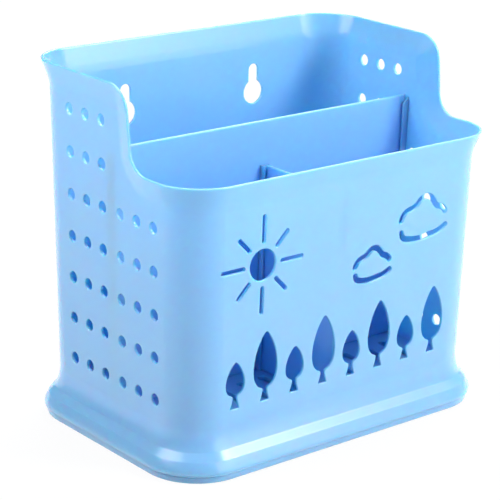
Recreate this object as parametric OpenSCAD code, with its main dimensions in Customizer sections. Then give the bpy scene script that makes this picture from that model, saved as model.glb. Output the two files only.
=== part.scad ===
// Holder for chopsticks and cutlery: a moulded tub with a flared rim that steps down to the
// front, drain holes in its sides, a cut-out landscape in its front and keyholes for hanging.
// Two partitions lift out of guide ribs, and a drip tray pulls off underneath.

/* [Walls] */
// Outer width of the walls at table level
wall_w = 160; // [140:1:200]
// Outer depth of the walls at table level
wall_d = 104; // [96:1:130]
// Thickness of the moulded walls
wall_t = 2; // [1.6:0.1:2.6]
// Outer radius of the upright corners
corner_r = 18; // [14:0.5:22]
// Outward lean of the walls, in degrees
draft = 1.05; // [0:0.05:1.5]

/* [Rim] */
// Height of the rear rim
rear_h = 158.5; // [150:0.5:180]
// Height of the front rim
front_h = 124.5; // [116:0.5:128]
// How far the rim flares out from the wall
rim_out = 3.4; // [2:0.1:4.5]
// Height over which the rim flares
rim_h = 12; // [9:0.5:12]
// Thickness of the lip at the end of the flare
lip_t = 1.9; // [1.4:0.1:2.4]
// Front-to-back place of the step in the side rims
step_y = -17; // [-19:0.5:-10]
// Radius of the bend at the top of the step
step_top_r = 12; // [12:0.5:13]
// Radius of the bend at the bottom of the step
step_low_r = 10; // [8:0.5:12]
// Lean of the step from upright, in degrees
step_lean = 6; // [0:1:12]

/* [Skirt and floor] */
// How far the skirt stands out from the wall
skirt_out = 7.5; // [5:0.5:9]
// Height at which the skirt leaves the wall
skirt_h = 15.5; // [15:0.5:18]
// Height of the top of the drain floor
floor_h = 16; // [15.5:0.5:20]
// Thickness of the drain floor
floor_t = 2; // [1.6:0.1:2.4]
// Radius between floor and walls
floor_r = 2; // [1:0.5:3]
// Width of a drain slot
slot_w = 4; // [3:0.5:5]
// Distance between drain slots
slot_pitch = 12; // [10:0.5:15]
// Solid floor kept between the slots and the walls or partitions
slot_margin = 8; // [6:0.5:12]

/* [Side holes] */
// Diameter of the side holes
hole_d = 5; // [3.5:0.25:5.5]
// Height of the lowest row of side holes
hole_low = 30; // [28:0.5:34]
// Distance between rows of side holes
hole_rise = 18.4; // [15:0.2:22]
// Distance between columns of side holes
hole_pitch = 11.3; // [9:0.1:12]
// Distance between the two columns beside the long divider
hole_gap = 12.4; // [12:0.1:14]

/* [Partitions] */
// Front-to-back place of the long divider
divider_y = -1; // [-4:0.5:4]
// Height of the top of the long divider
divider_h = 130; // [110:0.5:135]
// Thickness of both partitions
divider_t = 1.8; // [1.4:0.1:2]
// Sideways place of the cross partition
cross_x = -1.8; // [-4:0.1:4]
// Height of the top of the cross partition
cross_h = 110.5; // [90:0.5:112]
// Thickness of a guide rib
rib_t = 1.3; // [1:0.1:1.6]
// How far a guide rib stands out
rib_out = 2.6; // [2:0.1:3.5]
// Height at which the front wall's guide ribs start, above the trees
rib_low = 63; // [61:0.5:70]
// Clearance between pieces that slide or rest on each other
fit_gap = 0.3; // [0.2:0.05:0.5]

/* [Front cut-outs] */
// Height of the foot of the trees
tree_low = 27.6; // [26:0.2:32]
// Distance between trees
tree_pitch = 15.75; // [14:0.25:18]
// Height of a small tree
tree_small_h = 20.6; // [16:0.2:24]
// Height of a large tree
tree_large_h = 30.8; // [26:0.2:33]
// Width of a small crown
crown_small_w = 9.8; // [8:0.2:11]
// Width of a large crown
crown_large_w = 12.6; // [10:0.2:13]
// Height of the trunk under the crown
trunk_h = 5.7; // [4:0.1:7]
// Width of the foot of the trunk
trunk_w = 5; // [4:0.1:6]
// Width of the neck between trunk and crown
neck_w = 2; // [1.4:0.1:3]
// Distance of the sun's centre from the middle
sun_x = 44.6; // [36:0.2:48]
// Distance of the sun's centre below the front rim
sun_drop = 37; // [35:0.5:40]
// Diameter of the sun's disc
sun_d = 13.6; // [10:0.2:15]
// Inner radius of the rays
ray_in = 9.2; // [8.5:0.1:10]
// Length of the upright and level rays
ray_long = 12; // [8:0.2:12.5]
// Length of the slanted rays
ray_short = 9; // [6:0.2:10]
// Width of a ray
ray_w = 1.6; // [1.2:0.1:2.4]
// Distance of the small cloud's centre from the middle
cloud_small_x = 15.7; // [13:0.2:20]
// Distance of the small cloud's centre below the front rim
cloud_small_drop = 48.6; // [47:0.2:50]
// Distance of the large cloud's centre from the middle
cloud_large_x = 44.2; // [40:0.2:46]
// Distance of the large cloud's centre below the front rim
cloud_large_drop = 33; // [31:0.2:35]
// Width of the small cloud
cloud_small_w = 20; // [16:0.5:22]
// Width of the large cloud
cloud_large_w = 26.6; // [22:0.5:28]
// Width of the clouds' outline
cloud_line = 2.2; // [1.6:0.1:2.6]

/* [Keyholes] */
// Distance between the keyholes
key_pitch = 72; // [60:1:90]
// Height of the large end of a keyhole
key_z = 126.4; // [115:0.5:135]
// Diameter of the large end, which passes a screw's head
key_d = 11; // [9:0.5:12]
// Width of the narrow end, which holds the screw
key_slot_w = 5.4; // [4:0.2:6]
// Rise from the large end's centre to the narrow end's centre
key_rise = 10.4; // [8:0.2:12]

/* [Drip tray] */
// Thickness of the tray's plates
tray_t = 1.6; // [1.2:0.1:2]
// Height of the tray's visible edge
tray_edge_h = 2.9; // [2.4:0.1:3.4]
// How far the tray's edge stays inside the skirt
tray_inset = 1.2; // [0.8:0.1:2]
// Height of the tray's inner wall
tray_wall_h = 11.5; // [8:0.5:11.5]

/* [Hidden] */
$fn = 48;
through = 4 * wall_t + 8;
corner_steps = 9;
step_steps = 6;
curve_steps = 5;
lip_steps = 3;
bite = 0.6;

function lerp(a, b, t) = a + (b - a) * t;
function bend(a, b, c, n) =
    [for (i = [1:n]) lerp(lerp(a, b, i / n), lerp(b, c, i / n), i / n)];

// The walls lean outward, so their half sizes grow with height
function half_w(z) = wall_w / 2 + z * tan(draft);
function half_d(z) = wall_d / 2 + z * tan(draft);

// The step in the side rims: a bend, a leaning straight and a second bend
step_drop = rear_h - front_h;
step_straight = (step_drop - (step_top_r + step_low_r) * (1 - sin(step_lean))) / cos(step_lean);
step_run = (step_top_r + step_low_r) * cos(step_lean) + step_straight * sin(step_lean);
top_y = step_y + step_run / 2;
low_y = step_y - step_run / 2;

// Stations of the side rims from front to back: place y, z and the way into the wall
step_low = [for (i = [0:step_steps]) let (a = lerp(-90, -step_lean, i / step_steps))
    [low_y + step_low_r * cos(a), front_h + step_low_r + step_low_r * sin(a), cos(a), sin(a)]];
step_top = [for (i = [0:step_steps]) let (a = lerp(180 - step_lean, 90, i / step_steps))
    [top_y + step_top_r * cos(a), rear_h - step_top_r + step_top_r * sin(a), -cos(a), -sin(a)]];
stations = concat(step_low, step_top);
last = len(stations) - 1;

// One point of an upright corner, at offset o from the wall's outer face
function corner_point(sx, sy, a, o, z) = [
    sx * (half_w(z) - corner_r) + (corner_r + o) * cos(a),
    sy * (half_d(z) - corner_r) + (corner_r + o) * sin(a),
    z];
function side_end(sy, z) = sy * (half_d(z) - corner_r);

// One point of a side wall on a level ring, and on a ring that follows the rim d below it
function side_level(sx, i, o, z) =
    [sx * (half_w(z) + o), lerp(side_end(-1, z), side_end(1, z), (i + 1) / (last + 2)), z];
function side_rim(sx, i, o, d) = let (s = stations[i], z = s[1] + d * s[3])
    [sx * (half_w(z) + o), s[0] + d * s[2], z];

// A closed ring round the holder, either level at height v or v below the rim
function ring(follows_rim, o, v) = concat(
    [for (k = [0:corner_steps])
        corner_point(1, -1, -90 + 90 * k / corner_steps, o, follows_rim ? front_h - v : v)],
    [for (i = [0:last]) follows_rim ? side_rim(1, i, o, v) : side_level(1, i, o, v)],
    [for (k = [0:corner_steps])
        corner_point(1, 1, 90 * k / corner_steps, o, follows_rim ? rear_h - v : v)],
    [for (k = [0:corner_steps])
        corner_point(-1, 1, 90 + 90 * k / corner_steps, o, follows_rim ? rear_h - v : v)],
    [for (i = [last:-1:0]) follows_rim ? side_rim(-1, i, o, v) : side_level(-1, i, o, v)],
    [for (k = [0:corner_steps])
        corner_point(-1, -1, 180 + 90 * k / corner_steps, o, follows_rim ? front_h - v : v)]);

// The moulded section, from the underside of the floor out round the skirt, up the wall,
// over the lip and down to the top of the floor; each entry is offset and height or depth
skirt_low = tray_edge_h + fit_gap;
skirt_slope = skirt_out / (skirt_h - skirt_low - 1);
skirt_under = [
    [-wall_t - floor_r, floor_h - floor_t],
    [-wall_t, floor_h - floor_t],
    [skirt_out - 1.3 * wall_t, skirt_low + 1.5],
    [skirt_out - 1.15 * wall_t, skirt_low]];
skirt_face = concat(
    [[skirt_out - 0.3, skirt_low]],
    bend([skirt_out - 0.3, skirt_low], [skirt_out + 0.5, skirt_low + 1.4],
        [skirt_out - 1.5 * skirt_slope, skirt_low + 3.5], curve_steps),
    bend([2 * skirt_slope, skirt_h - 2], [0, skirt_h], [0, skirt_h + 3], curve_steps));
rim_outside = concat(
    [[0, rim_h]],
    bend([0, rim_h], [0.1, 2.4 * lip_t], [rim_out - 0.6, lip_t], curve_steps + 1));
rim_lip = concat(
    bend([rim_out - 0.6, lip_t], [rim_out + 0.2, 0.7 * lip_t], [rim_out - 0.1, 0.3 * lip_t], lip_steps),
    bend([rim_out - 0.1, 0.3 * lip_t], [rim_out - 0.5, 0], [rim_out - lip_t, 0], lip_steps));
rim_inside = bend([rim_out - lip_t, 0], [0.6 - wall_t, 0.3 * lip_t], [-wall_t, 0.8 * rim_h],
    curve_steps + 1);
floor_bend = concat(
    [[-wall_t, floor_h + floor_r]],
    bend([-wall_t, floor_h + floor_r], [-wall_t, floor_h], [-wall_t - floor_r, floor_h], lip_steps));

module shell() {
    rings = concat(
        [for (p = concat(skirt_under, skirt_face)) ring(false, p[0], p[1])],
        [for (p = concat(rim_outside, rim_lip, rim_inside)) ring(true, p[0], p[1])],
        [for (p = floor_bend) ring(false, p[0], p[1])]);
    n = len(rings[0]);
    m = len(rings);
    polyhedron(
        points = [for (r = rings) each r],
        faces = concat(
            [[for (i = [0:n - 1]) i]],
            [for (k = [0:m - 2], i = [0:n - 1], half = [0, 1]) let (j = (i + 1) % n)
                half == 0 ? [k * n + i, (k + 1) * n + i, (k + 1) * n + j]
                          : [k * n + i, (k + 1) * n + j, k * n + j]],
            [[for (i = [n - 1:-1:0]) (m - 1) * n + i]]));
}

module bar(w, r) {
    square([w, 2 * r], center = true);
    for (s = [-1, 1]) translate([s * w / 2, 0]) circle(r);
}

// Guide ribs on both side walls, a sliding fit from the long divider's faces
module divider_guides() {
    rib_top = divider_h - 1;
    for (sx = [-1, 1], sy = [-1, 1])
        translate([0, divider_y + sy * (divider_t / 2 + fit_gap + rib_t / 2), 0])
            rotate([90, 0, 0])
                linear_extrude(rib_t, center = true)
                    polygon([
                        [sx * (half_w(floor_h) - wall_t - rib_out), floor_h - bite],
                        [sx * (half_w(floor_h) - wall_t + bite), floor_h - bite],
                        [sx * (half_w(rib_top) - wall_t + bite), rib_top],
                        [sx * (half_w(rib_top) - wall_t), rib_top],
                        [sx * (half_w(rib_top - rib_out) - wall_t - rib_out), rib_top - rib_out]]);
}

// Guide ribs on the front wall, above the trees
module cross_guides() {
    for (sx = [-1, 1])
        translate([cross_x + sx * (divider_t / 2 + fit_gap + rib_t / 2), 0, 0])
            rotate([90, 0, 90])
                linear_extrude(rib_t, center = true)
                    polygon([
                        [-(half_d(rib_low) - wall_t + bite), rib_low],
                        [-(half_d(cross_h) - wall_t + bite), cross_h],
                        [-(half_d(cross_h) - wall_t), cross_h],
                        [-(half_d(cross_h - rib_out) - wall_t - rib_out), cross_h - rib_out],
                        [-(half_d(rib_low + rib_out) - wall_t - rib_out), rib_low + rib_out],
                        [-(half_d(rib_low) - wall_t), rib_low]]);
}

// Rows that fit under a rim of height h
function hole_rows(h) = floor((h - rim_h - 1 - hole_d / 2 - hole_low) / hole_rise);

module side_holes() {
    for (sy = [-1, 1], column = [0:2], row = [0:hole_rows(sy > 0 ? rear_h : front_h)])
        translate([0, divider_y + sy * (hole_gap / 2 + column * hole_pitch), hole_low + row * hole_rise])
            rotate([0, 90, 0])
                cylinder(h = wall_w + 40, d = hole_d, center = true);
}

// Slots run front to back, clear of the walls and of both partitions
module drain_slots() {
    reach = wall_w / 2 - wall_t - slot_margin;
    count = floor((reach - slot_pitch / 2) / slot_pitch);
    rear = [divider_y + slot_margin, wall_d / 2 - wall_t - slot_margin];
    front = [divider_y - slot_margin, -wall_d / 2 + wall_t + slot_margin];
    for (span = [rear, front], sx = [-1, 1], i = [0:count])
        translate([cross_x + sx * slot_pitch * (i + 0.5), (span[0] + span[1]) / 2, floor_h - through / 2])
            linear_extrude(through)
                rotate(90)
                    bar(abs(span[1] - span[0]) - slot_w, slot_w / 2);
}

// Outline of a tree: a trunk that narrows to the neck, then a leaf-shaped crown
module tree(h, w) {
    crown_h = h - trunk_h;
    bulge = pow(0.35, 0.42) * pow(0.65, 0.78);
    neck_t = pow(neck_w / w * bulge, 1 / 0.42);
    trunk = [for (t = [0, 0.4, 0.75]) [lerp(trunk_w, neck_w, 1 - pow(1 - t, 1.6)) / 2, t * trunk_h]];
    crown = [for (i = [0:12]) let (t = lerp(neck_t, 1, (1 - cos(15 * i)) / 2))
        [w / 2 * pow(t, 0.42) * pow(1 - t, 0.78) / bulge, trunk_h + t * crown_h]];
    side = concat(trunk, crown);
    polygon(concat(side, [for (i = [len(side) - 2:-1:0]) [-side[i][0], side[i][1]]]));
}

module tree_row() {
    count = 2 * floor((wall_w - 2 * corner_r + 4) / tree_pitch / 2);
    for (i = [0:count - 1])
        translate([cross_x + (i - (count - 1) / 2) * tree_pitch, tree_low])
            if (i % 2 == 0) tree(tree_small_h, crown_small_w);
            else tree(tree_large_h, crown_large_w);
}

module sun() {
    circle(d = sun_d);
    for (i = [0:7]) let (long = i % 2 == 0 ? ray_long : ray_short)
        rotate(45 * i)
            translate([ray_in + long / 2, 0])
                square([long, ray_w], center = true);
}

// One stroke of a cloud: a band along part of a circle, round at both ends
module band(x, y, r, from, to) {
    half = cloud_line / 2;
    turn = [for (i = [0:8]) lerp(from, to, i / 8)];
    cap = [for (i = [1:5]) 30 * i * sign(to - from)];
    translate([x, y])
        polygon(concat(
            [for (a = turn) (r + half) * [cos(a), sin(a)]],
            [for (c = cap) r * [cos(to), sin(to)] + half * [cos(to + c), sin(to + c)]],
            [for (i = [8:-1:0]) (r - half) * [cos(turn[i]), sin(turn[i])]],
            [for (c = cap) r * [cos(from), sin(from)] - half * [cos(from + c), sin(from + c)]]));
}

// Bands of a cloud 20 wide: place and radius of each circle, then the angles it runs between
cloud_bands = [
    [-5.6, -0.7, 4.5, 164, 71],
    [0.6, 2.9, 4.15, 169, 5],
    [6, -1.2, 4, 109, 27],
    [-7.1, -3.7, 2.4, 181, 269],
    [-2, 13.2, 20, 256, 283],
    [3, 7, 13.2, 266, 302]];

module cloud(w) {
    k = w / 20;
    for (b = cloud_bands) band(b[0] * k, b[1] * k, b[2] * k, b[3], b[4]);
}

module front_cutouts() {
    translate([0, -half_d(front_h) + wall_t + rim_out, 0])
        rotate([90, 0, 0])
            linear_extrude(2 * rim_out + through) {
                tree_row();
                translate([-sun_x, front_h - sun_drop]) sun();
                translate([cloud_small_x, front_h - cloud_small_drop]) cloud(cloud_small_w);
                translate([cloud_large_x, front_h - cloud_large_drop]) cloud(cloud_large_w);
            }
}

module keyholes() {
    for (sx = [-1, 1])
        translate([sx * key_pitch / 2, half_d(key_z) + through / 2, key_z])
            rotate([90, 0, 0])
                linear_extrude(through) {
                    circle(d = key_d);
                    translate([0, key_rise / 2]) square([key_slot_w, key_rise], center = true);
                    translate([0, key_rise]) circle(d = key_slot_w);
                }
}

module holder_body() {
    color("lightskyblue")
        difference() {
            union() {
                shell();
                divider_guides();
                cross_guides();
            }
            side_holes();
            front_cutouts();
            keyholes();
            drain_slots();
        }
}

// The long divider fills the width between the side walls
module long_divider() {
    low = floor_h + fit_gap;
    function edge(z) = half_w(z) - wall_t - fit_gap;
    guide_y = divider_y - divider_t / 2 - rib_out / 2;
    color("skyblue") {
        translate([0, divider_y, 0])
            rotate([90, 0, 0])
                linear_extrude(divider_t, center = true)
                    polygon([
                        [-edge(low) + floor_r, low],
                        [edge(low) - floor_r, low],
                        [edge(low + floor_r), low + floor_r],
                        [edge(divider_h), divider_h],
                        [-edge(divider_h), divider_h],
                        [-edge(low + floor_r), low + floor_r]]);
        for (sx = [-1, 1])
            translate([cross_x + sx * (divider_t / 2 + fit_gap + rib_t / 2), guide_y + bite / 2,
                       (low + cross_h) / 2])
                cube([rib_t, rib_out + bite, cross_h - low], center = true);
    }
}

// The cross partition runs from the long divider to the front wall
module cross_partition() {
    low = floor_h + fit_gap;
    back = divider_y - divider_t / 2 - fit_gap;
    function edge(z) = -(half_d(z) - wall_t - fit_gap);
    color("deepskyblue")
        translate([cross_x, 0, 0])
            rotate([90, 0, 90])
                linear_extrude(divider_t, center = true)
                    polygon([
                        [back, low],
                        [edge(low) + floor_r, low],
                        [edge(low + floor_r), low + floor_r],
                        [edge(cross_h), cross_h],
                        [back, cross_h]]);
}

// Outline of the walls at table level, moved out by o
module outline(o) {
    w = wall_w + 2 * o;
    d = wall_d + 2 * o;
    r = corner_r + o;
    square([w - 2 * r, d], center = true);
    square([w, d - 2 * r], center = true);
    for (sx = [-1, 1], sy = [-1, 1])
        translate([sx * (w / 2 - r), sy * (d / 2 - r)])
            circle(r);
}

module frame_plate(outer, inner, low, high) {
    translate([0, 0, low])
        linear_extrude(high - low)
            difference() {
                outline(outer);
                outline(inner);
            }
}

// The tray's inner wall stands under the floor, and its flange closes the skirt
module drip_tray() {
    wall_out = -1;
    edge_out = skirt_out - tray_inset;
    color("lightblue") {
        linear_extrude(tray_t) outline(wall_out);
        frame_plate(wall_out, wall_out - tray_t, 0, tray_wall_h);
        frame_plate(edge_out, wall_out - tray_t, tray_edge_h - tray_t, tray_edge_h);
        frame_plate(edge_out, edge_out - tray_t, 0, tray_edge_h);
    }
}

holder_body();
long_divider();
cross_partition();
drip_tray();
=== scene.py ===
import bmesh
import bpy
import numpy as np
from mathutils import Matrix, Vector


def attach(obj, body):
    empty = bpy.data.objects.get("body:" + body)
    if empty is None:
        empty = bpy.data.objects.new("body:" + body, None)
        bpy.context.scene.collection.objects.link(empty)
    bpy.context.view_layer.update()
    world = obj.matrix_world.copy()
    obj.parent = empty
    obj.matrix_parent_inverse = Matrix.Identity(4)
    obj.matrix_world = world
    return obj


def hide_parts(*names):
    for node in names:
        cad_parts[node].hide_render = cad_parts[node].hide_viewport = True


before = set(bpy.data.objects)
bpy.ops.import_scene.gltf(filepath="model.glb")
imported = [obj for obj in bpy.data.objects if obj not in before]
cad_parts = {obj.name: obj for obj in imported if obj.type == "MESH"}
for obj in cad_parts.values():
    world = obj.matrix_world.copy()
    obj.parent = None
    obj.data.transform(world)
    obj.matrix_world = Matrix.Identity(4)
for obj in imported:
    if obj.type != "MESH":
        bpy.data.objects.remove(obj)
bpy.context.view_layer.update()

# The tub: one moulding in sky-blue polypropylene. Its walls lean out by a degree, a rim flares
# out all round and steps down to the front in an S-bend, and a skirt stands out at the foot.
# The walls are 1.4 mm thick from the solids' outer faces, as thin as the photograph shows them.
wall_w, wall_d, wall_t, corner_r = 0.160, 0.104, 0.0014, 0.018
lean = np.tan(np.radians(1.05))
rear_h, front_h, rim_out, rim_h, lip_t = 0.1585, 0.1245, 0.0034, 0.012, 0.0016
step_y, step_top_r, step_low_r, step_lean = -0.017, 0.012, 0.010, np.radians(6)
skirt_out, skirt_h, skirt_low = 0.0075, 0.0155, 0.0032
floor_h, floor_t, floor_r = 0.016, 0.002, 0.002
corner_points, low_points, top_points = 25, 25, 31


def half_w(z):
    """Half the outer width of the leaning walls at height z."""
    return wall_w / 2 + z * lean


def half_d(z):
    """Half the outer depth of the leaning walls at height z."""
    return wall_d / 2 + z * lean


def lerp(a, b, t):
    """a at t = 0 and b at t = 1, straight in between."""
    return a + (b - a) * t


def bend(a, b, c, n):
    """n points of a quadratic curve that leaves a towards b and ends at c; a itself is left out."""
    a, b, c, t = np.array(a), np.array(b), np.array(c), np.arange(1, n + 1)[:, None] / n
    return lerp(lerp(a, b, t), lerp(b, c, t), t)


def side_stations():
    """Points of the side rims from front to back, each y, z and the direction into the wall.

    Two arcs of radius step_low_r and step_top_r joined by a straight that leans by step_lean.
    """
    reach = (step_top_r + step_low_r) * (1 - np.sin(step_lean))
    straight = (rear_h - front_h - reach) / np.cos(step_lean)
    run = (step_top_r + step_low_r) * np.cos(step_lean) + straight * np.sin(step_lean)
    low_y, top_y = step_y - run / 2, step_y + run / 2
    a = np.linspace(-np.pi / 2, -step_lean, low_points)
    low = [low_y + step_low_r * np.cos(a), front_h + step_low_r * (1 + np.sin(a)),
           np.cos(a), np.sin(a)]
    a = np.linspace(np.pi - step_lean, np.pi / 2, top_points)
    top = [top_y + step_top_r * np.cos(a), rear_h - step_top_r * (1 - np.sin(a)),
           -np.cos(a), -np.sin(a)]
    return np.hstack([low, top])


def rings_round(profile, follows_rim):
    """Closed rings round the tub, one for each profile row of offset o and height or depth v.

    A corner is an arc of radius corner_r + o; a side runs level at height v, or v below the rim
    along the stations' inward directions.
    """
    o, v = profile[:, :1], profile[:, 1:]
    front_z, rear_z = (front_h - v, rear_h - v) if follows_rim else (v, v)
    arc = np.linspace(0, np.pi / 2, corner_points)

    def corner(sx, sy, turn, z):
        """The arcs of one corner at heights z, on the side sx, sy, starting at the angle turn."""
        x = sx * (half_w(z) - corner_r) + (corner_r + o) * np.cos(arc + turn)
        y = sy * (half_d(z) - corner_r) + (corner_r + o) * np.sin(arc + turn)
        return np.stack([x, y, z + 0 * arc], 2)

    s = side_stations()
    if follows_rim:
        z, y = s[1] + v * s[3], s[0] + v * s[2]
    else:
        t = np.arange(1, s.shape[1] + 1) / (s.shape[1] + 1)
        z = v + 0 * t
        y = (2 * t - 1) * (half_d(z) - corner_r)
    side = np.stack([half_w(z) + o, y, z], 2)
    other = (side * [-1, 1, 1])[:, ::-1]
    quarter = np.pi / 2
    return np.concatenate([
        corner(1, -1, -quarter, front_z), side, corner(1, 1, 0, rear_z),
        corner(-1, 1, quarter, rear_z), other, corner(-1, -1, 2 * quarter, front_z)], 1)


# The section of the skirt, in offset and height: the drain floor's underside, the inner face, the
# lip, a slope and a long bend into the wall. The slope is shaped so that the front lamp's mirror
# image runs along it where the photograph has its bright streak.
lip_inner, lip_in = [skirt_out - 0.0017, skirt_low + 0.0003], [skirt_out - 0.0013, skirt_low]
lip_out, lip_top = [skirt_out - 0.0004, skirt_low], [skirt_out - 0.0002, skirt_low + 0.0018]
slope_foot, slope_top = [0.0052, skirt_low + 0.0060], [0.0030, skirt_low + 0.0080]
skirt_profile = np.vstack([
    [[-wall_t - floor_r, floor_h - floor_t], [-wall_t, floor_h - floor_t]],
    [[skirt_out - 0.0019, skirt_low + 0.0016], lip_inner],
    bend(lip_inner, [skirt_out - 0.0016, skirt_low], lip_in, 4),
    [lip_out],
    bend(lip_out, [skirt_out + 0.0001, skirt_low + 0.0007], lip_top, 8),
    bend(lip_top, [skirt_out - 0.0006, skirt_low + 0.0033], slope_foot, 12),
    bend(slope_top, [0.0002, skirt_h], [0, skirt_h + 0.0055], 16)])

# The section of the rim, in offset and depth below its crest: the flare leaves the wall by a bend,
# which takes up the first part of it, runs out straight to the rounded lip and comes back inside.
flare_foot, bend_share = 0.8 * rim_h, 0.3
flare_out, flare_in = [rim_out - 0.0002, lip_t / 2], [rim_out - lip_t, lip_t / 2]
crest = [rim_out - lip_t / 2, 0]
outer_bend_end = lerp(np.array([0, flare_foot]), flare_out, bend_share)
inner_bend_start = lerp(np.array(flare_in), [-wall_t, flare_foot], 1 - bend_share)
rim_profile = np.vstack([
    [[0, rim_h]],
    bend([0, rim_h], [0, flare_foot], outer_bend_end, 12),
    [flare_out],
    bend(flare_out, [rim_out, 0], crest, 8),
    bend(crest, [rim_out - lip_t + 0.0002, 0], flare_in, 8),
    bend(inner_bend_start, [-wall_t, flare_foot], [-wall_t, 0.98 * rim_h], 12)])

# The drain floor's upper face, with a fillet up into the walls.
floor_profile = np.vstack([
    [[-wall_t, floor_h + floor_r]],
    bend([-wall_t, floor_h + floor_r], [-wall_t, floor_h], [-wall_t - floor_r, floor_h], 8)])


def ring_quads(m, n):
    """The numbers of the points in m rings of n, and the quads between neighbouring rings."""
    grid = np.arange(m * n).reshape(m, n)
    following = np.roll(grid, -1, 1)
    return grid, np.stack([grid[:-1], following[:-1], following[1:], grid[1:]], 2)


def capped(rings):
    """Points and faces of closed rings, with quads between them and one flat face at each end."""
    grid, quads = ring_quads(*rings.shape[:2])
    ends = [grid[0].tolist(), grid[-1, ::-1].tolist()]
    return rings.reshape(-1, 3), ends + quads.reshape(-1, 4).tolist()


def tub_mesh():
    """The closed skin of the tub: the three profiles' rings, with quads between them. The side
    walls, between level rings and rings that follow the rim, are one flat face each."""
    rings = np.concatenate([
        rings_round(skirt_profile, False), rings_round(rim_profile, True),
        rings_round(floor_profile, False)])
    m, n = rings.shape[:2]
    grid, quads = ring_quads(m, n)
    half, last = n // 2, corner_points - 1
    sides = [np.arange(last, half - last), np.arange(half + last, n - last)]
    bands = [len(skirt_profile) - 1, len(skirt_profile) + len(rim_profile) - 1]
    keep = np.ones((m - 1, n), bool)
    faces = [grid[0, ::-1].tolist(), grid[-1].tolist()]
    for k in bands:
        for s in sides:
            keep[k, s[:-1]] = False
            faces.append(np.concatenate([grid[k, s], grid[k + 1, s[::-1]]]).tolist())
    return rings.reshape(-1, 3), faces + quads[keep].tolist()


def piece(name, points, faces):
    """A mesh object at the origin, with doubles merged and its faces pointing outwards."""
    mesh = bpy.data.meshes.new(name)
    mesh.from_pydata(np.asarray(points, float).tolist(), [], faces)
    bm = bmesh.new()
    bm.from_mesh(mesh)
    bmesh.ops.remove_doubles(bm, verts=bm.verts, dist=2e-7)
    bmesh.ops.dissolve_degenerate(bm, edges=bm.edges, dist=1e-7)
    bmesh.ops.recalc_face_normals(bm, faces=bm.faces)
    bm.to_mesh(mesh)
    bm.free()
    obj = bpy.data.objects.new(name, mesh)
    bpy.context.scene.collection.objects.link(obj)
    return obj


# The openings are moulded through the walls with edges rounded by a third of a millimetre:
# holes in the sides, a landscape of trees, sun and clouds in front, keyholes behind, floor slots.
# The sun's rays and the clouds' strokes are up to 0.4 mm wider than the solids have them. Each is
# cut by a prism that reaches past both faces of the wall.
edge_r, past = 0.00035, 0.0006
hole_r, hole_first_y, hole_pitch_y = 0.0025, 0.0062, 0.0113
hole_first_z, hole_pitch_z = 0.030, 0.0184
tree_foot, tree_pitch = 0.0276, 0.01575
short_tree, tall_tree = (0.0206, 0.0098), (0.0308, 0.0126)
sun_r, ray_from, ray_long, ray_short = 0.0068, 0.0092, 0.012, 0.009
ray_r, ray_inset = 0.00095, 0.0009
cloud_stroke_r = 0.0013
key_x, key_z, key_big_r, key_small_r, key_rise = 0.036, 0.1264, 0.0055, 0.0027, 0.0104
slot_r, slot_pitch, slot_clear = 0.002, 0.012, 0.008


def circle(x, y, r, n=28):
    """n points round a circle."""
    a = np.arange(n) * 2 * np.pi / n
    return np.stack([x + r * np.cos(a), y + r * np.sin(a)], 1)


def stroke(line, r, n=10):
    """The outline of a line of points drawn with a round pen of radius r."""
    d = np.gradient(line, axis=0)
    d /= np.linalg.norm(d, axis=1)[:, None]
    side = np.stack([d[:, 1], -d[:, 0]], 1) * r
    t = np.linspace(0, np.pi, n + 1)[1:-1, None]
    end = line[-1] + side[-1] * np.cos(t) + d[-1] * r * np.sin(t)
    start = line[0] - side[0] * np.cos(t) - d[0] * r * np.sin(t)
    return np.vstack([line + side, end, (line - side)[::-1], start])


def outward(outline, least):
    """Directions out of a closed outline at its points: the sum of the two edges' normals over
    1 + cos(turn), or over least if that is more, which keeps an offset's distance to both edges."""
    step = np.roll(outline, -1, 0) - outline
    step /= np.linalg.norm(step, axis=1)[:, None]
    out = np.stack([step[:, 1], -step[:, 0]], 1)
    normal = out + np.roll(out, 1, 0)
    normal /= np.maximum((normal * out).sum(1), least)[:, None]
    x, y = outline.T
    return normal * np.sign((x * np.roll(y, -1) - y * np.roll(x, -1)).sum())


def through(outline, place, thickness):
    """A closed prism on an outline, flared by a quarter round of edge_r at both wall faces and
    carried past them.

    place(u, v, o) gives the point at u, v on the wall's outer face moved out by o.
    """
    t = np.radians([22.5, 45, 67.5, 90])
    grow = edge_r * np.append(1, 1 - np.sin(t))
    deep = np.append(-past, edge_r * (1 - np.cos(t)))
    o = np.append(-deep, (-thickness + deep)[::-1])
    grow = np.append(grow, grow[::-1])
    at = outline + outward(outline, 0.5) * grow[:, None, None]
    return capped(place(at[..., 0], at[..., 1], o[:, None]))


def on_front(x, z, o):
    """The point at x, z on the front wall's outer face, moved out by o."""
    return np.stack([x, -half_d(z) - o, z + 0 * o], -1)


def on_rear(x, z, o):
    """The point at x, z on the rear wall's outer face, moved out by o."""
    return np.stack([x, half_d(z) + o, z + 0 * o], -1)


def on_left(y, z, o):
    """The point at y, z on the left wall's outer face, moved out by o."""
    return np.stack([-half_w(z) - o, y + 0 * o, z], -1)


def on_right(y, z, o):
    """The point at y, z on the right wall's outer face, moved out by o."""
    return np.stack([half_w(z) + o, y + 0 * o, z], -1)


def on_floor(x, y, o):
    """The point at x, y on the drain floor's upper face, moved up by o."""
    return np.stack([x, y, floor_h + o + 0 * x], -1)


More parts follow.
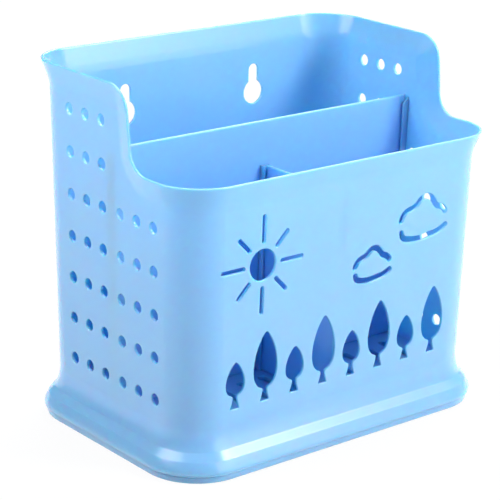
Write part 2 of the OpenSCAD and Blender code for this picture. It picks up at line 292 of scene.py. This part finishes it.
def evened(line, gap, passes, closed=False):
    """A line of points spaced evenly by about gap, each then moved passes times to half itself and
    a quarter of each neighbour, which rounds the corners as a mould does."""
    if closed:
        line = np.vstack([line, line[:1]])
    run = np.append(0, np.cumsum(np.linalg.norm(np.diff(line, axis=0), axis=1)))
    even = np.linspace(0, run[-1], int(run[-1] / gap) + 1)
    line = np.stack([np.interp(even, run, line[:, i]) for i in (0, 1)], 1)
    line = line[:-1] if closed else line
    for _ in range(passes):
        if closed:
            line = (np.roll(line, 1, 0) + 2 * line + np.roll(line, -1, 0)) / 4
        else:
            line[1:-1] = (line[:-2] + 2 * line[1:-1] + line[2:]) / 4
    return line


def tree_outline(x, z, h, w):
    """A trunk that narrows to a neck as 1 - (1 - s)^1.6 at the share s of its height, then a leaf
    whose half width at the share t is w/2 t^0.42 (1 - t)^0.78 over that product's largest value."""
    trunk_h, trunk_w, neck = 0.0057, 0.0050, 0.0020
    rise, fall, widest = 0.42, 0.78, 0.35
    bulge = widest ** rise * (1 - widest) ** fall
    t0 = (neck / w * bulge) ** (1 / rise)
    s = np.linspace(0, 0.8, 5)
    trunk = np.stack([lerp(trunk_w, neck, 1 - (1 - s) ** 1.6) / 2, s * trunk_h], 1)
    t = lerp(t0, 1, (1 - np.cos(np.linspace(0, np.pi, 40))) / 2)
    crown = np.stack([w / 2 * t ** rise * (1 - t) ** fall / bulge, trunk_h + t * (h - trunk_h)], 1)
    right = np.vstack([trunk, crown[:-1]])
    outline = np.vstack([right, crown[-1:], (right * [-1, 1])[::-1]])
    return evened(outline, 0.0004, 5, closed=True) + [x, z]


def cloud_outlines(x, z, k):
    """Two strokes round a cloud of scale k: chains of arcs, each a centre and a radius in
    millimetres and two angles in degrees, smoothed."""
    upper = [(-5.6, -0.7, 4.5, 164, 86), (0.6, 2.9, 4.15, 154, 21), (6, -1.2, 4, 94, 27)]
    lower = [(-7.1, -3.7, 2.4, 181, 269), (-2, 13.2, 20, 256, 281), (3, 7, 13.2, 266, 302)]
    found = []
    for chain in (upper, lower):
        arcs = [(cx, cz, r, np.radians(np.linspace(a0, a1, 60))) for cx, cz, r, a0, a1 in chain]
        line = np.vstack([
            np.stack([cx + r * np.cos(a), cz + r * np.sin(a)], 1) for cx, cz, r, a in arcs])
        found.append(stroke(evened(line * k * 0.001, 0.0004, 12), cloud_stroke_r) + [x, z])
    return found


cross_x, divider_y = -0.0018, -0.001
openings = []
for sy, rows in ((-1, 5), (1, 7)):
    for column in range(3):
        for row in range(rows):
            hole = circle(divider_y + sy * (hole_first_y + column * hole_pitch_y),
                          hole_first_z + row * hole_pitch_z, hole_r)
            openings += [through(hole, on_left, wall_t), through(hole, on_right, wall_t)]
for i in range(8):
    x = cross_x + (i - 3.5) * tree_pitch
    shape = tree_outline(x, tree_foot, *(short_tree if i % 2 == 0 else tall_tree))
    openings.append(through(shape, on_front, wall_t))
sun = np.array([-0.0446, front_h - 0.037])
openings.append(through(circle(*sun, sun_r, 64), on_front, wall_t))
for i in range(8):
    a, long = i * np.pi / 4, ray_long if i % 2 == 0 else ray_short
    way = np.array([np.cos(a), np.sin(a)])
    reach = np.linspace(ray_from + ray_inset, ray_from + long - ray_inset, 6)
    openings.append(through(stroke(sun + way * reach[:, None], ray_r, 8), on_front, wall_t))
small_cloud = cloud_outlines(0.0157, front_h - 0.0486, 1)
large_cloud = cloud_outlines(0.0442, front_h - 0.033, 1.33)
for outline in small_cloud + large_cloud:
    openings.append(through(outline, on_front, wall_t))
for sx in (-1, 1):
    big = np.arccos(key_small_r / key_big_r)
    a = np.linspace(np.pi - big, 2 * np.pi + big, 44)
    b = np.linspace(0, np.pi, 20)
    key = np.vstack([
        np.stack([key_big_r * np.cos(a), key_big_r * np.sin(a)], 1),
        np.stack([key_small_r * np.cos(b), key_rise + key_small_r * np.sin(b)], 1)])
    openings.append(through(key + [sx * key_x, key_z], on_rear, wall_t))
slot_reach = wall_d / 2 - wall_t - slot_clear
for low, high in ((divider_y + slot_clear, slot_reach), (-slot_reach, divider_y - slot_clear)):
    for sx in (-1, 1):
        for i in range(6):
            x = cross_x + sx * slot_pitch * (i + 0.5)
            line = np.stack([np.full(8, x), np.linspace(low + slot_r, high - slot_r, 8)], 1)
            openings.append(through(stroke(line, slot_r, 16), on_floor, floor_t))


def together(parts):
    """Several closed skins as one list of points and faces."""
    starts = np.cumsum([0] + [len(p) for p, _ in parts])
    return np.vstack([p for p, _ in parts]), [
        [i + s for i in f] for s, (_, fs) in zip(starts, parts) for f in fs]


def bake(obj):
    """Applies an object's modifiers."""
    bpy.context.view_layer.update()
    graph = bpy.context.evaluated_depsgraph_get()
    mesh = bpy.data.meshes.new_from_object(obj.evaluated_get(graph))
    obj.modifiers.clear()
    obj.data = mesh


def smooth(obj):
    """Smooth shading with edges kept above 40 degrees, its normals led by the larger faces."""
    obj.data.shade_smooth()
    obj.data.set_sharp_from_angle(angle=np.radians(40))
    even = obj.modifiers.new("even normals", "WEIGHTED_NORMAL")
    even.keep_sharp = True
    return obj


tub = piece("tub", *tub_mesh())
cutter = piece("cutter", *together(openings))
cut = tub.modifiers.new("openings", "BOOLEAN")
cut.operation, cut.solver, cut.object = "DIFFERENCE", "EXACT", cutter
bake(tub)
bpy.data.objects.remove(cutter)
smooth(tub)


def linear(hex_colour):
    """An sRGB hex colour as linear red, green, blue and alpha."""
    c = np.array([int(hex_colour[i:i + 2], 16) for i in (1, 3, 5)]) / 255
    c = np.where(c <= 0.04045, c / 12.92, ((c + 0.055) / 1.055) ** 2.4)
    return (*c.tolist(), 1.0)


def add(graph, kind, inputs=None, **settings):
    """Adds a node to a graph, sets its properties, and gives each named input a value or a link."""
    made = graph.nodes.new(kind)
    for key, value in settings.items():
        setattr(made, key, value)
    for key, value in (inputs or {}).items():
        if isinstance(value, bpy.types.NodeSocket):
            graph.links.new(value, made.inputs[key])
        else:
            made.inputs[key].default_value = value
    return made


def moulded_polypropylene(name, light, deep, roughness, grain):
    """Sky-blue polypropylene moulded in a polished tool. Light enters the 1.4 mm walls and comes
    back waxy, and what passes through is bluer, so the hollows glow deep blue: red light travels
    0.2 mm in it, green 2.9 mm and blue 2.2 mm. The tool leaves a faint orange peel under a
    millimetre across, and the melt leaves pale flow streaks two centimetres wide."""
    streaks_per_m, grains_per_m, streak_gloss = 50.0, 1100.0, 0.04
    made = bpy.data.materials.new(name)
    made.use_nodes = True
    graph = made.node_tree
    graph.nodes.clear()
    place = add(graph, "ShaderNodeTexCoord").outputs["Object"]
    flow = add(graph, "ShaderNodeMapping", {"Vector": place, "Scale": (1.0, 1.0, 0.3)}).outputs[0]
    streak = add(graph, "ShaderNodeTexNoise", {
        "Vector": flow, "Scale": streaks_per_m, "Detail": 1.5, "Roughness": 0.4})
    colour = add(graph, "ShaderNodeMix", {
        0: streak.outputs["Fac"], 6: linear(light), 7: linear(deep)}, data_type="RGBA")
    gloss = add(graph, "ShaderNodeMapRange", {
        "Value": streak.outputs["Fac"],
        "To Min": roughness - streak_gloss, "To Max": roughness + streak_gloss})
    peel = add(graph, "ShaderNodeTexNoise", {"Vector": place, "Scale": grains_per_m, "Detail": 1.0})
    bump = add(graph, "ShaderNodeBump", {
        "Height": peel.outputs["Fac"], "Strength": grain, "Distance": 0.0001})
    shader = add(graph, "ShaderNodeBsdfPrincipled", {
        "Base Color": colour.outputs[2], "Roughness": gloss.outputs[0], "Normal": bump.outputs[0],
        "IOR": 1.49, "Specular IOR Level": 0.6, "Subsurface Weight": 1.0,
        "Subsurface Radius": (0.12, 2.1, 1.6), "Subsurface Scale": 0.0014})
    add(graph, "ShaderNodeOutputMaterial", {"Surface": shader.outputs[0]})
    return made


tub_plastic = moulded_polypropylene("polished polypropylene", "#93C8FC", "#8EC4FB", 0.24, 0.1)
tub.data.materials.clear()
tub.data.materials.append(tub_plastic)
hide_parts("holder_body")
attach(tub, "holder_body")

# Guide ribs, moulded with the tub: two on each side wall hold the long divider, and two on the
# front wall, above the trees, hold the cross partition. Their tips, like the plates' edges, stand
# where the solids' 2 mm walls put them, and their roots reach out to the drawn walls.
divider_t, fit_gap, rib_t, rib_out, bite = 0.0018, 0.0003, 0.0013, 0.0026, 0.0006
seat_t = 0.002
divider_h, cross_h, rib_low = 0.130, 0.1105, 0.063
plate_edge_r, side_rib_r, front_rib_r, channel_rib_r = 0.0006, 0.0006, 0.0003, 0.0005
rib_centre = divider_t / 2 + fit_gap + rib_t / 2


def plate(outline, place, low, high, e):
    """A closed plate on an outline, between two levels, with its edges rounded by e.

    place(u, v, level) gives the point at u, v of the outline's plane at a level across it.
    """
    t = np.linspace(0, np.pi / 2, 5)
    shrink = np.concatenate([e * (1 - np.sin(t)), e * (1 - np.sin(t))[::-1]])
    level = np.concatenate([low + e * (1 - np.cos(t)), high - e * (1 - np.cos(t))[::-1]])
    at = outline - outward(outline, 0.3) * shrink[:, None, None]
    return capped(place(at[..., 0], at[..., 1], level[:, None]))


def across(x, z, y):
    """The point at x, z of a plate that runs from side to side, at depth y."""
    return np.stack([x, y + 0 * x, z], -1)


def along(y, z, x):
    """The point at y, z of a plate that runs from front to back, at x."""
    return np.stack([x + 0 * y, y, z], -1)


ribs = []
rib_top = divider_h - 0.001
for sx in (-1, 1):
    for sy in (-1, 1):
        y = divider_y + sy * rib_centre
        ribs.append(plate(np.array([
            [sx * (half_w(floor_h) - seat_t - rib_out), floor_h - bite],
            [sx * (half_w(floor_h) - wall_t + bite), floor_h - bite],
            [sx * (half_w(rib_top) - wall_t + bite), rib_top],
            [sx * (half_w(rib_top) - wall_t), rib_top],
            [sx * (half_w(rib_top - rib_out) - seat_t - rib_out), rib_top - rib_out]]),
            across, y - rib_t / 2, y + rib_t / 2, side_rib_r))
for sx in (-1, 1):
    x = cross_x + sx * rib_centre
    ribs.append(plate(np.array([
        [-(half_d(rib_low) - wall_t + bite), rib_low],
        [-(half_d(cross_h) - wall_t + bite), cross_h],
        [-(half_d(cross_h) - wall_t), cross_h],
        [-(half_d(cross_h - rib_out) - seat_t - rib_out), cross_h - rib_out],
        [-(half_d(rib_low + rib_out) - seat_t - rib_out), rib_low + rib_out],
        [-(half_d(rib_low) - wall_t), rib_low]]),
        along, x - rib_t / 2, x + rib_t / 2, front_rib_r))
guide_ribs = smooth(piece("guide_ribs", *together(ribs)))
guide_ribs.data.materials.append(tub_plastic)
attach(guide_ribs, "holder_body")

# The long divider: a flat moulded plate, rounded along its edges, that drops between the side
# walls' guide ribs. Two ribs on its front face hold the cross partition.
low = floor_h + fit_gap


def divider_edge(z):
    """Half the width of the divider at height z, a gap inside the walls."""
    return half_w(z) - seat_t - fit_gap


divider = plate(np.array([
    [-divider_edge(low) + floor_r, low], [divider_edge(low) - floor_r, low],
    [divider_edge(low + floor_r), low + floor_r], [divider_edge(divider_h), divider_h],
    [-divider_edge(divider_h), divider_h], [-divider_edge(low + floor_r), low + floor_r]]),
    across, divider_y - divider_t / 2, divider_y + divider_t / 2, plate_edge_r)
channel = []
for sx in (-1, 1):
    x = cross_x + sx * rib_centre
    near, far = divider_y - divider_t / 2 - rib_out, divider_y - divider_t / 2 + bite
    channel.append(plate(np.array([[near, low], [far, low], [far, cross_h], [near, cross_h]]),
                         along, x - rib_t / 2, x + rib_t / 2, channel_rib_r))
long_divider = smooth(piece("long_divider_plate", *together([divider] + channel)))
partition_plastic = moulded_polypropylene(
    "semi-gloss polypropylene", "#91C8FC", "#8CC4FB", 0.32, 0.14)
long_divider.data.materials.append(partition_plastic)
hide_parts("long_divider")
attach(long_divider, "long_divider")

# The cross partition: a flat moulded plate between the long divider and the front wall.
cross_back = divider_y - divider_t / 2 - fit_gap


def partition_edge(z):
    """Where the partition's front edge stands at height z, a gap inside the front wall."""
    return -(half_d(z) - seat_t - fit_gap)


cross = plate(np.array([
    [cross_back, low], [partition_edge(low) + floor_r, low],
    [partition_edge(low + floor_r), low + floor_r],
    [partition_edge(cross_h), cross_h], [cross_back, cross_h]]),
    along, cross_x - divider_t / 2, cross_x + divider_t / 2, plate_edge_r)
cross_partition = smooth(piece("cross_partition_plate", *cross))
cross_partition.data.materials.append(partition_plastic)
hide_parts("cross_partition")
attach(cross_partition, "cross_partition")

# The drip tray: a shallow moulded dish under the drain floor. Its flange closes the skirt and
# ends in a rounded edge, which shows as a thin band at the foot.
tray_t, tray_edge_h, tray_wall_h = 0.0016, 0.0029, 0.0115
tray_edge, tray_wall = skirt_out - 0.0012, -0.001
tray_base = tray_wall - 0.012


def level_rings(profile):
    """Closed level rings round the foot, one for each profile row of offset o and height z."""
    o, z = profile[:, :1], profile[:, 1:]
    arc = np.linspace(0, np.pi / 2, corner_points)
    x, y = wall_w / 2 - corner_r, wall_d / 2 - corner_r
    corners = (1, -1, -np.pi / 2), (1, 1, 0), (-1, 1, np.pi / 2), (-1, -1, np.pi)
    return np.concatenate([
        np.stack([sx * x + (corner_r + o) * np.cos(arc + turn),
                  sy * y + (corner_r + o) * np.sin(arc + turn), z + 0 * arc], 2)
        for sx, sy, turn in corners], 1)


def rounded(corners, n=5):
    """A profile through corners, each an offset, a height and the length that its bend takes up."""
    c = np.array(corners, float)
    found = [c[0, :2]]
    for before, at, after in zip(c[:-2], c[1:-1], c[2:]):
        to, on = before[:2] - at[:2], after[:2] - at[:2]
        a = at[:2] + to / np.linalg.norm(to) * at[2]
        b = at[:2] + on / np.linalg.norm(on) * at[2]
        found += [a, *bend(a, at[:2], b, n)]
    return np.array(found + [c[-1, :2]])


tray_profile = rounded([
    [tray_base, 0, 0], [tray_wall, 0, 0.0005], [tray_wall, tray_edge_h - tray_t, 0.0003],
    [tray_edge - tray_t, tray_edge_h - tray_t, 0.0003], [tray_edge - tray_t, 0, 0.0003],
    [tray_edge, 0, 0.0006], [tray_edge, tray_edge_h, 0.0006], [tray_wall, tray_edge_h, 0.0003],
    [tray_wall, tray_wall_h, 0.0005], [tray_wall - tray_t, tray_wall_h, 0.0005],
    [tray_wall - tray_t, tray_t, 0.001], [tray_base, tray_t, 0]])
drip_tray = smooth(piece("drip_tray_dish", *capped(level_rings(tray_profile))))
drip_tray.data.materials.append(tub_plastic)
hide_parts("drip_tray")
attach(drip_tray, "drip_tray")

# The studio: a plain pale floor that the camera sees as white with a faint shadow, and that shines
# up into the plastic. It lies 0.2 mm below the tray and follows it, so that the tray stays in sight
# when it is pulled down.
floor_reach, floor_z, white_share, seen_white, mirrored_white = 4, -0.0002, 0.88, 1.06, 1.6
floor_mesh = bpy.data.meshes.new("studio_floor")
corners = [(sx * floor_reach, sy * floor_reach, floor_z)
           for sx, sy in ((-1, -1), (1, -1), (1, 1), (-1, 1))]
floor_mesh.from_pydata(corners, [], [(0, 1, 2, 3)])
studio_floor = bpy.data.objects.new("studio_floor", floor_mesh)
bpy.context.scene.collection.objects.link(studio_floor)
floor_paint = bpy.data.materials.new("matt studio floor")
floor_paint.use_nodes = True
paint = floor_paint.node_tree
paint.nodes.clear()
ray = add(paint, "ShaderNodeLightPath").outputs
seen = add(paint, "ShaderNodeMath", {
    0: ray["Is Camera Ray"], 1: ray["Is Glossy Ray"]}, operation="MAXIMUM")
seen = add(paint, "ShaderNodeMath", {
    0: seen.outputs[0], 1: ray["Is Transmission Ray"]}, operation="MAXIMUM")
share = add(paint, "ShaderNodeMath", {0: seen.outputs[0], 1: white_share}, operation="MULTIPLY")
matt = add(paint, "ShaderNodeBsdfDiffuse", {"Color": linear("#C4C4C4")})
shine = add(paint, "ShaderNodeMapRange", {
    "Value": ray["Is Glossy Ray"], "To Min": seen_white, "To Max": mirrored_white})
white = add(paint, "ShaderNodeEmission", {"Color": (1, 1, 1, 1), "Strength": shine.outputs[0]})
mixed = add(paint, "ShaderNodeMixShader", {
    0: share.outputs[0], 1: matt.outputs[0], 2: white.outputs[0]})
add(paint, "ShaderNodeOutputMaterial", {"Surface": mixed.outputs[0]})
floor_mesh.materials.append(floor_paint)
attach(studio_floor, "drip_tray")

# The world is white for the camera and through clear things, and gives no light of its own.
world = bpy.data.worlds.new("studio")
bpy.context.scene.world = world
world.use_nodes = True
sky = world.node_tree
sky.nodes.clear()
ray = add(sky, "ShaderNodeLightPath").outputs
seen = add(sky, "ShaderNodeMath", {
    0: ray["Is Camera Ray"], 1: ray["Is Transmission Ray"]}, operation="MAXIMUM")
backdrop = add(sky, "ShaderNodeBackground", {"Color": (1, 1, 1, 1), "Strength": seen.outputs[0]})
add(sky, "ShaderNodeOutputWorld", {"Surface": backdrop.outputs[0]})


# The lamps: a soft one in front on the right, whose mirror image is the streak along the skirt, a
# low one that fills the front, and two behind that light the inside and the left wall.
def soft_light(name, azimuth, elevation, distance, size, watts):
    """A square lamp of a size in metres that faces the middle of the tub from a distance, at an
    azimuth from the front to the right and an elevation in degrees."""
    turn, rise = np.radians([azimuth, elevation])
    way = Vector((np.sin(turn) * np.cos(rise), -np.cos(turn) * np.cos(rise), np.sin(rise)))
    lamp = bpy.data.lights.new(name, "AREA")
    lamp.shape, lamp.size, lamp.energy = "SQUARE", size, watts
    obj = bpy.data.objects.new(name, lamp)
    bpy.context.scene.collection.objects.link(obj)
    stand = Matrix.Translation(Vector((0, 0, 0.07)) + way * distance)
    obj.matrix_world = stand @ way.to_track_quat("Z", "Y").to_matrix().to_4x4()


soft_light("light_front", 38, 38, 2.4, 0.7, 38)
soft_light("light_low", 20, 14, 1.8, 1.2, 16)
soft_light("light_back_left", -108, 42, 1.8, 1.2, 27)
soft_light("light_back_right", 122, 42, 1.8, 1.4, 32)

# The camera stands where the photograph's did, as fitted to its side holes, trees and keyholes: its
# angles in degrees, its focal length in pixels of the 500 px picture, and metres from its target.
turn, rise, roll = np.radians([-39.4636, 18.3143, 1.2507])
focal_px, picture_px, sensor_mm, camera_far = 1909.323, 500, 36, 0.836392
target_z, target_right = 0.0706271, -0.0057856
back_way = np.array([np.sin(turn) * np.cos(rise), -np.cos(turn) * np.cos(rise), np.sin(rise)])
right = np.cross(-back_way, [0, 0, 1])
right /= np.linalg.norm(right)
up = np.cross(right, -back_way)
target = np.array([0, 0, target_z]) + right * target_right
camera = bpy.data.objects.new("camera", bpy.data.cameras.new("camera"))
camera.data.sensor_width = sensor_mm
camera.data.lens = focal_px / picture_px * sensor_mm
axes = np.stack([right * np.cos(roll) + up * np.sin(roll),
                 up * np.cos(roll) - right * np.sin(roll), back_way], 1)
stand = Matrix.Translation(target + back_way * camera_far)
camera.matrix_world = stand @ Matrix(axes.tolist()).to_4x4()
bpy.context.scene.collection.objects.link(camera)
bpy.context.scene.camera = camera
bpy.context.scene.view_settings.view_transform = "Standard"
